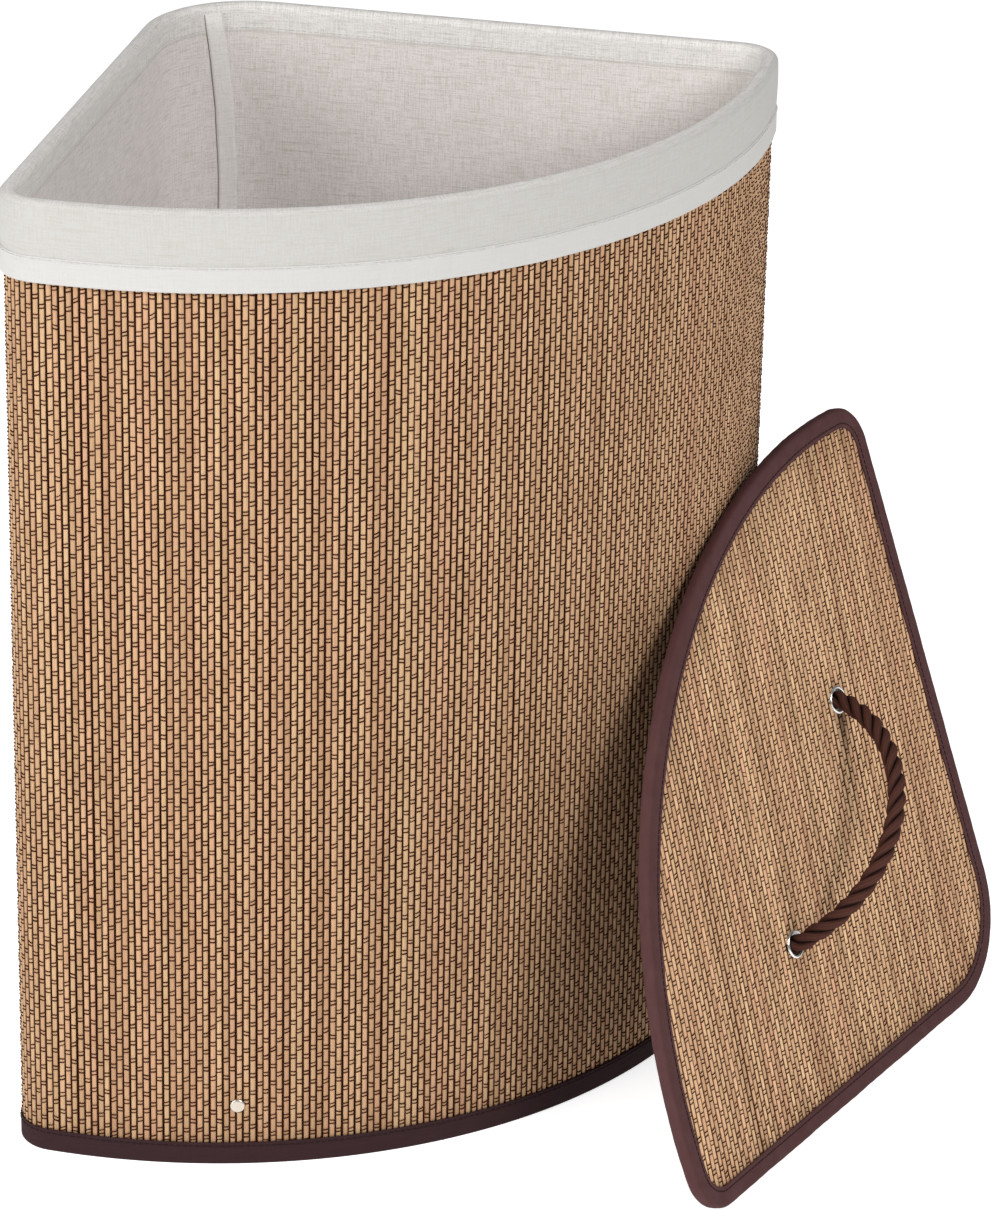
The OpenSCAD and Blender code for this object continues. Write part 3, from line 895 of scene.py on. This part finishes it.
tab_outward = UP * tab_way[None, :, :1] - wall_out * tab_way[None, :, 1:]
tab_side = np.broadcast_to(np.cross(wall_out, UP), tab_path.shape)
base_straps = bars("base_straps", tab_path, tab_side, tab_outward, TAB_SHAPE, linen("strap_linen", LINEN_OUT))
assign(base_straps, "hamper", "liner", "base_tabs")
tab_z = np.arange(0.012, TAB_TOP - 0.002, STITCH_PITCH)
for label, aside in (("left", -0.0098), ("right", 0.0098)):
    foot = stud_at * [1, 1, 0] + stud_out * (TAB_OUT - 0.0006) + aside * tab_side[:, 0]
    start = (foot[:, None] + UP * tab_z[:, None]).reshape(-1, 1, 3) \
        + UP * (STITCH_WAY[:, :1] * STITCH)[None]
    facing = np.broadcast_to(-np.repeat(stud_out, len(tab_z), 0)[:, None], start.shape)
    strap_stitches = bars(f"strap_stitches_{label}", start + facing * STITCH_WAY[None, :, 1:],
                          np.cross(UP, facing), facing, STITCH_SHAPE, linen_thread)
    assign(strap_stitches, "hamper", "liner")

# Lid: a board faced with the same bamboo weave, laid askew, lined underneath and bound all round.
# It leans on the hamper; its own flat frame comes from its joints: X along the handle, Z its normal.
LID_MAT_TOP = 0.0072
LID_MAT_LOW = 0.0054
LID_THICK = 0.0080
LID_OVER = 0.0038
LID_BAND = 0.0120
LID_LEG = 0.0008
CORE_OUT = 0.0030
LINING = (0.0008, 0.0014)
EYELET_X = 0.0775
EYELET_Y = -0.0170
SLAT_TURN = np.radians(38)
PIVOT_Z = 0.0160
HOLE_R = 0.0070
CUT_R = 0.0073

lid_z = np.array(joints["lid_lift"]["axis"], float)
lid_x = np.array(joints["handle_swing"]["axis"], float)
lid_x -= lid_z * (lid_x @ lid_z)
lid_x, lid_z = lid_x / np.linalg.norm(lid_x), lid_z / np.linalg.norm(lid_z)
lid_y = np.cross(lid_z, lid_x)
swing_at = np.array(joints["handle_swing"]["pos_m"], float)


def on_lid(points):
    """Points of the lid's flat frame, in the row frame."""
    x, y, z = (points[..., i:i + 1] for i in range(3))
    return swing_at + x * lid_x + (y - EYELET_Y) * lid_y + (z - PIVOT_Z) * lid_z


along_slats = np.array([np.cos(SLAT_TURN), np.sin(SLAT_TURN), 0])
across_slats = np.array([np.sin(SLAT_TURN), -np.cos(SLAT_TURN), 0])
lid_eyelets = np.array([[-EYELET_X, EYELET_Y, 0], [EYELET_X, EYELET_Y, 0]])
LID_SLAT_OUT = -0.006
SHORTEST_SLAT = 0.004
lid_rim = around(np.linspace(0, PLAN_LENGTH, 2400), LID_SLAT_OUT, 0)
rim_u, rim_v = lid_rim @ along_slats, lid_rim @ across_slats
slat_rows = np.arange(np.ceil(rim_v.min() / pitch), np.floor(rim_v.max() / pitch) + 1)
lid_slat = []
for row in slat_rows:
    crossing = np.flatnonzero((rim_v[:-1] - row * pitch) * (rim_v[1:] - row * pitch) < 0)
    share = (row * pitch - rim_v[crossing]) / (rim_v[crossing + 1] - rim_v[crossing])
    stops = list(np.sort(rim_u[crossing] + share * (rim_u[crossing + 1] - rim_u[crossing])))
    for eyelet in lid_eyelets:
        off_row = eyelet @ across_slats - row * pitch
        if abs(off_row) < CUT_R:
            gap = np.sqrt(CUT_R ** 2 - off_row ** 2)
            stops += [eyelet @ along_slats - gap, eyelet @ along_slats + gap]
    stops = sorted(stops)
    lid_slat += [(row, a, b) for a, b in zip(stops[::2], stops[1::2]) if b - a > SHORTEST_SLAT]
lid_slat = np.array(lid_slat)
lid_count = len(lid_slat)
slat_u = lid_slat[:, 1:2] + (lid_slat[:, 2:] - lid_slat[:, 1:2]) * np.linspace(0, 1, 9)
slat_v = lid_slat[:, :1] * pitch + bow(slat_u, 0.00008)
lid_face = LID_MAT_TOP + SLAT_FACE
lid_bamboo = split_bamboo("lid_bamboo", 1.44, 0.95)
lid_thread_brown = thread_dye("lid_thread", (0.040, 0.011, 0.004), (0.085, 0.028, 0.011))
middle = on_lid(slat_u[..., None] * along_slats + slat_v[..., None] * across_slats + lid_face * UP)
outward = np.broadcast_to(lid_z, middle.shape)
side = np.broadcast_to(across_slats[0] * lid_x + across_slats[1] * lid_y, middle.shape)
lid_slats = bars("lid_slats", middle, side, outward, SLAT_SHAPE, lid_bamboo,
                 rng.uniform(0.98, 1.10, lid_count), slat_tones(lid_count))
assign(lid_slats, "lid", "bamboo", "lid_mat")


def lid_thread(v, u, out):
    """Thread points on the lid's face, with the lid's normal."""
    path = on_lid(v[..., None] * across_slats + u[..., None] * along_slats
                  + (LID_MAT_TOP + out)[..., None] * UP)
    return path, np.broadcast_to(lid_z, path.shape)


slat_row = lid_slat[:, 0]
drift = 0.0015 * np.sin(slat_row / 9) + 0.0008 * np.sin(slat_row / 3.7) \
    + rng.normal(0, DRIFT_SPREAD, lid_count)
places = [thread_places(a, b, row, d) for (row, a, b), d in zip(lid_slat, drift)]
weave("lid_threads", np.repeat(slat_row * pitch, [len(p) for p in places]), np.concatenate(places),
      "lid", lid_thread, lid_thread_brown, 0.90)


def plate(name, low, high, paint, slot, *stands_for):
    """A flat plate in the lid between two heights: the lid's outline, filled but for its two round
    eyelet holes, and thickened upwards."""
    work = bmesh.new()
    turn = np.linspace(0, 2 * np.pi, 40, endpoint=False)
    loops = [lid_outline] + [np.column_stack([x + HOLE_R * np.cos(turn), y + HOLE_R * np.sin(turn)])
                             for x, y, _ in lid_eyelets]
    for loop in loops:
        corners = [work.verts.new((x, y, low)) for x, y in loop]
        for a, b in zip(corners, corners[1:] + corners[:1]):
            work.edges.new((a, b))
    bmesh.ops.triangle_fill(work, edges=work.edges[:], use_beauty=True)
    grown = bmesh.ops.extrude_face_region(work, geom=work.faces[:])["geom"]
    bmesh.ops.translate(work, vec=(0, 0, high - low),
                        verts=[g for g in grown if isinstance(g, bmesh.types.BMVert)])
    bmesh.ops.recalc_face_normals(work, faces=work.faces)
    mesh = bpy.data.meshes.new(name)
    work.to_mesh(mesh)
    work.free()
    flat = np.empty(3 * len(mesh.vertices))
    mesh.vertices.foreach_get("co", flat)
    mesh.vertices.foreach_set("co", on_lid(flat.reshape(-1, 3)).astype(np.float32).ravel())
    mesh.materials.append(paint)
    made = bpy.data.objects.new(name, mesh)
    scene.collection.objects.link(made)
    assign(made, "lid", slot, *stands_for)


lid_outline = around(np.linspace(0, PLAN_LENGTH, 300, endpoint=False), CORE_OUT - 0.0006, 0)[:, :2]
plate("lid_backing", LID_MAT_LOW, LID_MAT_LOW + 0.00022, backing_brown, "binding")
plate("lid_lining_cloth", *LINING, binding_brown, "liner", "lid_lining")

# The folded tape's end-on shape: a groove on its face where the stitches pull it down
BAND_IN = LID_OVER - LID_BAND
SEW_OUT = -0.0056
lid_shape = rounded([(BAND_IN, 0.00705), (BAND_IN, 0.00795), (-0.0061, 0.00805), (SEW_OUT, 0.00775),
                     (-0.0051, 0.00808), (-0.0010, 0.00822), (LID_OVER, 0.0080), (LID_OVER, 0),
                     (BAND_IN, 0), (BAND_IN, LID_LEG), (CORE_OUT, LID_LEG), (CORE_OUT, LID_MAT_TOP - 0.0001)],
                    np.array([0.2, 0.4, 0.3, 0.3, 0.3, 1.2, 3.0, 3.0, 0.3, 0.2, 1.2, 1.2]) / 1000, 5)


def lid_pucker(s, out, z):
    """The folded tape's outer edge swells a little between its stitches and drifts gently."""
    pull = np.sin(2 * np.pi * s / (3 * STITCH_PITCH)) * 0.00006 \
        + wave_sum(s, z, [(19, 0.00010, 0.0, 0.0), (43, 0.00006, 2.0, 0.0)])
    return np.where(out > 0.002, pull, 0.4 * pull)


lid_brown = nonwoven("lid_tape", (0.088, 0.036, 0.036))
assign(ring("lid_tape_edge", lid_shape, lid_brown, 1000, place=on_lid, ripple=lid_pucker),
       "lid", "binding", "lid_binding")
stitch_row("lid_stitches", "lid", "binding", SEW_OUT, 0.00795, binding_thread, "up", on_lid)
stitch_row("lid_under_stitches", "lid", "binding", SEW_OUT, -0.00005, binding_thread, "down", on_lid)

# Eyelets and washers: pressed steel rings, bright plated, clenched through the lid.
eyelet_metal = brushed("eyelet_metal", (0.88, 0.87, 0.86), 0.22)
EYELET_PROFILE = rounded([(0.0066, 0.0004), (0.0066, 0.0077), (0.0071, 0.0083), (0.0078, 0.0082),
                          (0.0084, 0.0076), (0.0084, 0.0068), (0.0069, 0.0068), (0.0069, 0.0004)],
                         np.array([0.1, 0.5, 0.4, 0.4, 0.4, 0.2, 0.1, 0.1]) / 1000)
WASHER_PROFILE = rounded([(0.0071, -0.0001), (0.0095, 0.0001), (0.0095, 0.0007), (0.0071, 0.0007)], 0.00025)
lid_spots, lid_ups = on_lid(lid_eyelets), np.tile(lid_z, (2, 1))
turned("eyelet_rings", EYELET_PROFILE, lid_spots, lid_ups, lid_x, eyelet_metal, "lid", "eyelets", 72)
turned("eyelet_backs", WASHER_PROFILE, lid_spots, lid_ups, lid_x, eyelet_metal, "lid", "eyelet_washers")

# Rope handle: soft brown three-strand cotton rope, right-hand laid, passed through both eyelets
# and knotted under the lid.
ROPE_R = 0.0055
STRAND_R = 0.00252
LAY = 0.0345
ARCH_RISE = 0.051
ARCH_TILT = np.radians(5)
KNOT_Z = -0.014
KNOT_SCALE = 0.0029
ROPE_BROWN = (0.068, 0.024, 0.015)
YARNS = 8
YARN_TURN = 0.016
WAVE_UNIT = 2 * np.pi / 10
rope_brown, tree, shader = material("rope_cotton", ROPE_BROWN, 0.92, Specular_IOR_Level=0.15)
uv = node(tree, "ShaderNodeTexCoord").outputs["UV"]
laid = node(tree, "ShaderNodeMapping", [
    ("Vector", uv), ("Scale", (YARNS * WAVE_UNIT, WAVE_UNIT / YARN_TURN * 2, 0))]).outputs[0]
yarn = node(tree, "ShaderNodeTexWave", [("Vector", laid), ("Scale", 1.0), ("Distortion", 0.0)],
            wave_type="BANDS", bands_direction="DIAGONAL").outputs["Fac"]
fuzz = grain(tree, 1400.0, 5.0)
blotch = grain(tree, 160.0)
base = mix(tree, spread(tree, yarn, 0.0, 0.8), (0.068, 0.025, 0.018), (0.088, 0.034, 0.025))
base = mix(tree, spread(tree, fuzz, 0.5, 0.8, 0.0, 0.30), base, (0.150, 0.070, 0.055))
base = mix(tree, spread(tree, blotch, 0.4, 0.7, 0.0, 0.30), base, (0.056, 0.020, 0.014))
# UV x is the share round a strand from its outermost line, so the middle lies in the grooves; there the colour
# is darkened to near black as painted shade between the strands
inward = apart(tree, uv_part(tree, "X"), 0.5)
base = mix(tree, spread(tree, inward, 0.20, 0.36, 0.92, 0.0), base, (0.010, 0.003, 0.002))
tree.links.new(base, shader.inputs["Base Color"])
bump(tree, figure(tree, "ADD", yarn, fuzz), 0.35, 0.0003, shader)


def even(path, step):
    """The same path with points an even step apart."""
    along = run(path)
    at = np.linspace(0, along[-1], int(round(along[-1] / step)) + 1)
    return np.column_stack([np.interp(at, along, path[:, i]) for i in range(3)]), at


def laid_rope(name, path, sides=14, step=0.0011, squeeze=1.0):
    """Three strands wound right-handed round a path; each strand's radius shrinks to a point
    at both ends. The frame is carried along without twist, by taking away each step's turn."""
    line, at = even(path, step)
    ahead = heading(line)
    normal = np.cross(ahead[0], [0.3, 0.9, 0.2])
    normals = []
    for way in ahead:
        normal = normal - way * (normal @ way)
        normal /= np.linalg.norm(normal)
        normals.append(normal)
    normals = np.array(normals)
    across = np.cross(ahead, normals)
    end = np.minimum(at, at[-1] - at)
    fill = np.sqrt(np.clip(1 - (1 - np.clip(end / STRAND_R, 0, 1)) ** 2, 1e-9, 1))
    turn = np.linspace(0, 2 * np.pi, sides, endpoint=False)
    points, quads, uvs = [], [], []
    for strand in range(3):
        phase = 2 * np.pi * (at / LAY + strand / 3)
        outward = normals * np.cos(phase)[:, None] + across * np.sin(phase)[:, None]
        round_ = -normals * np.sin(phase)[:, None] + across * np.cos(phase)[:, None]
        reach = squeeze * (ROPE_R - STRAND_R)
        centre = line + outward * reach
        flat = round_ - ahead * (reach * 2 * np.pi / LAY)
        flat /= np.linalg.norm(flat, axis=1, keepdims=True)
        radius = squeeze * STRAND_R * fill
        shell = centre[:, None] + radius[:, None, None] * (
            outward[:, None] * np.cos(turn)[None, :, None] + 1.04 * flat[:, None] * np.sin(turn)[None, :, None])
        points.append(shell.reshape(-1, 3))
        quads.append(grid_faces(len(line), sides, False, True) + strand * len(line) * sides)
        uvs.append(grid_uv(at, np.linspace(0, 1, sides + 1))[:, ::-1])
    made = mesh_object(name, np.concatenate(points), np.concatenate(quads), rope_brown, np.concatenate(uvs))
    return finish_mesh(made), line


arch_r = (ARCH_RISE ** 2 + EYELET_X ** 2) / (2 * ARCH_RISE)
arch_mid = LID_THICK + ARCH_RISE - arch_r
pivot_x = np.sqrt(arch_r ** 2 - (PIVOT_Z - arch_mid) ** 2)
arch_half = np.arcsin(pivot_x / arch_r)
swing = np.linspace(-arch_half, arch_half, 120)
arch_x, arch_z = arch_r * np.sin(swing), arch_mid - PIVOT_Z + arch_r * np.cos(swing)
arch = np.column_stack([arch_x, EYELET_Y + arch_z * np.sin(ARCH_TILT), PIVOT_Z + arch_z * np.cos(ARCH_TILT)])
leg = corner((pivot_x + 0.004 * 0.75, EYELET_Y, PIVOT_Z - 0.004), (EYELET_X, EYELET_Y, PIVOT_Z - 0.009),
             (EYELET_X, EYELET_Y, KNOT_Z), 0.0045, 8)
leg = np.concatenate([leg, np.array([[EYELET_X, EYELET_Y, 0.0], [EYELET_X, EYELET_Y, KNOT_Z + 0.004]])])
rope_way = np.concatenate([(leg * [-1, 1, 1])[::-1], arch, leg])
handle_rope, rope_line = laid_rope("handle_rope", on_lid(rope_way))
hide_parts("rope_arch", "rope_tails")

# Overhand knots: a trefoil, (sin t + 2 sin 2t, cos t - 2 cos 2t, -sin 3t), drawn up tight
knot_t = np.linspace(0.25, 2 * np.pi - 0.10, 160)
trefoil = np.column_stack([np.sin(knot_t) + 2 * np.sin(2 * knot_t), np.cos(knot_t) - 2 * np.cos(2 * knot_t),
                           -1.15 * np.sin(3 * knot_t)]) * KNOT_SCALE
for label, spot in zip(("left", "right"), lid_eyelets):
    knot, _ = laid_rope(f"rope_knot_{label}", on_lid(trefoil + spot + [0, 0, KNOT_Z]), 12, 0.0013, 0.86)
    assign(knot, "lid", "rope")
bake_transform(handle_rope)
